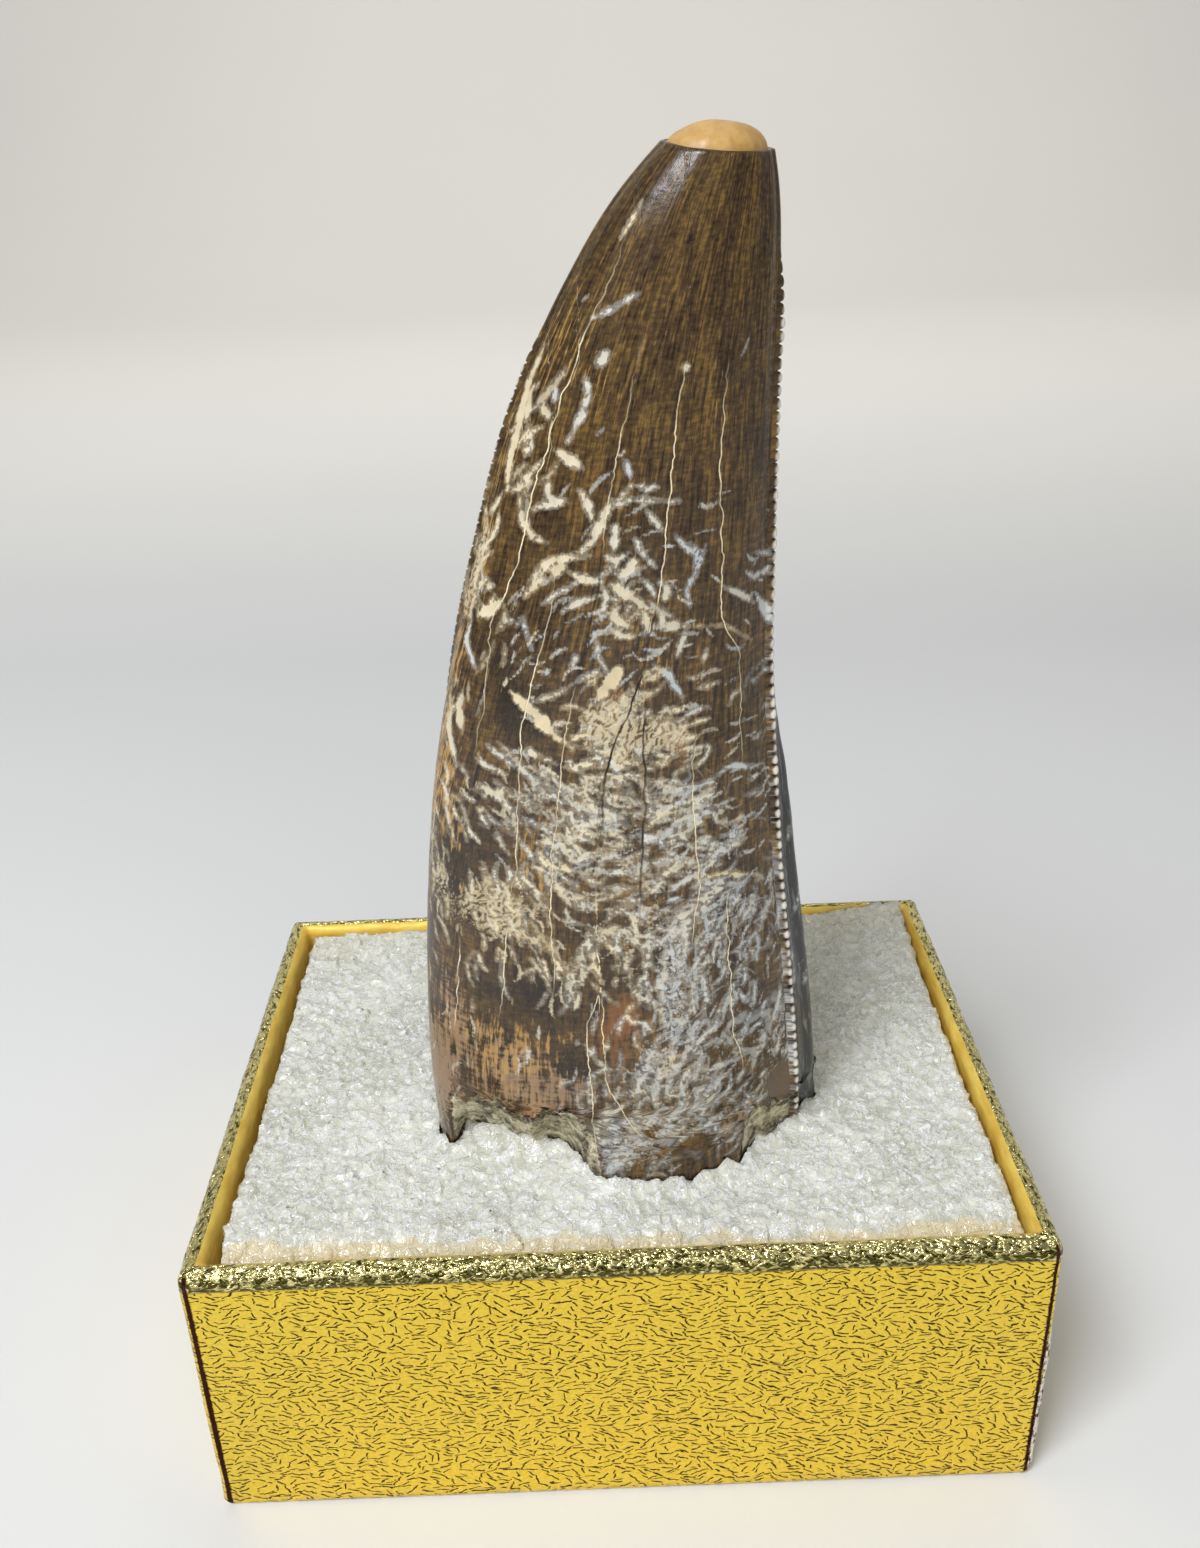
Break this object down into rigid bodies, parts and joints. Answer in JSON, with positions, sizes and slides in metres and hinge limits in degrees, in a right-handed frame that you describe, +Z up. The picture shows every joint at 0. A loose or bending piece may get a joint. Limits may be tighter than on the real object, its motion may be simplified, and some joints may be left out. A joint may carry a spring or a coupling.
{
  "type": "fossil dinosaur tooth on box stand",
  "caption": "Large recurved fossil theropod tooth with serrated edges and a worn tip, stood in foam inside a small gold foil box.",
  "frame": {"origin": "on the supporting surface, under the middle of the box", "axes": "+Z up along the tooth, +X towards the tooth's trailing edge along the box's long side, +Y towards the back"},
  "size_m": [0.06, 0.045, 0.0915],
  "materials": {
    "tooth": "polished fossil enamel, glossy dark brown",
    "foam": "cut cellular polyethylene foam with glossy cells",
    "board": "raw grey chipboard",
    "foil": "embossed metallic gold foil paper"
  },
  "bodies": {
    "root": {"tooth": "tooth", "foam_block": "foam", "board_tray": "board", "foil_wrap": "foil"}
  },
  "joints": []
}
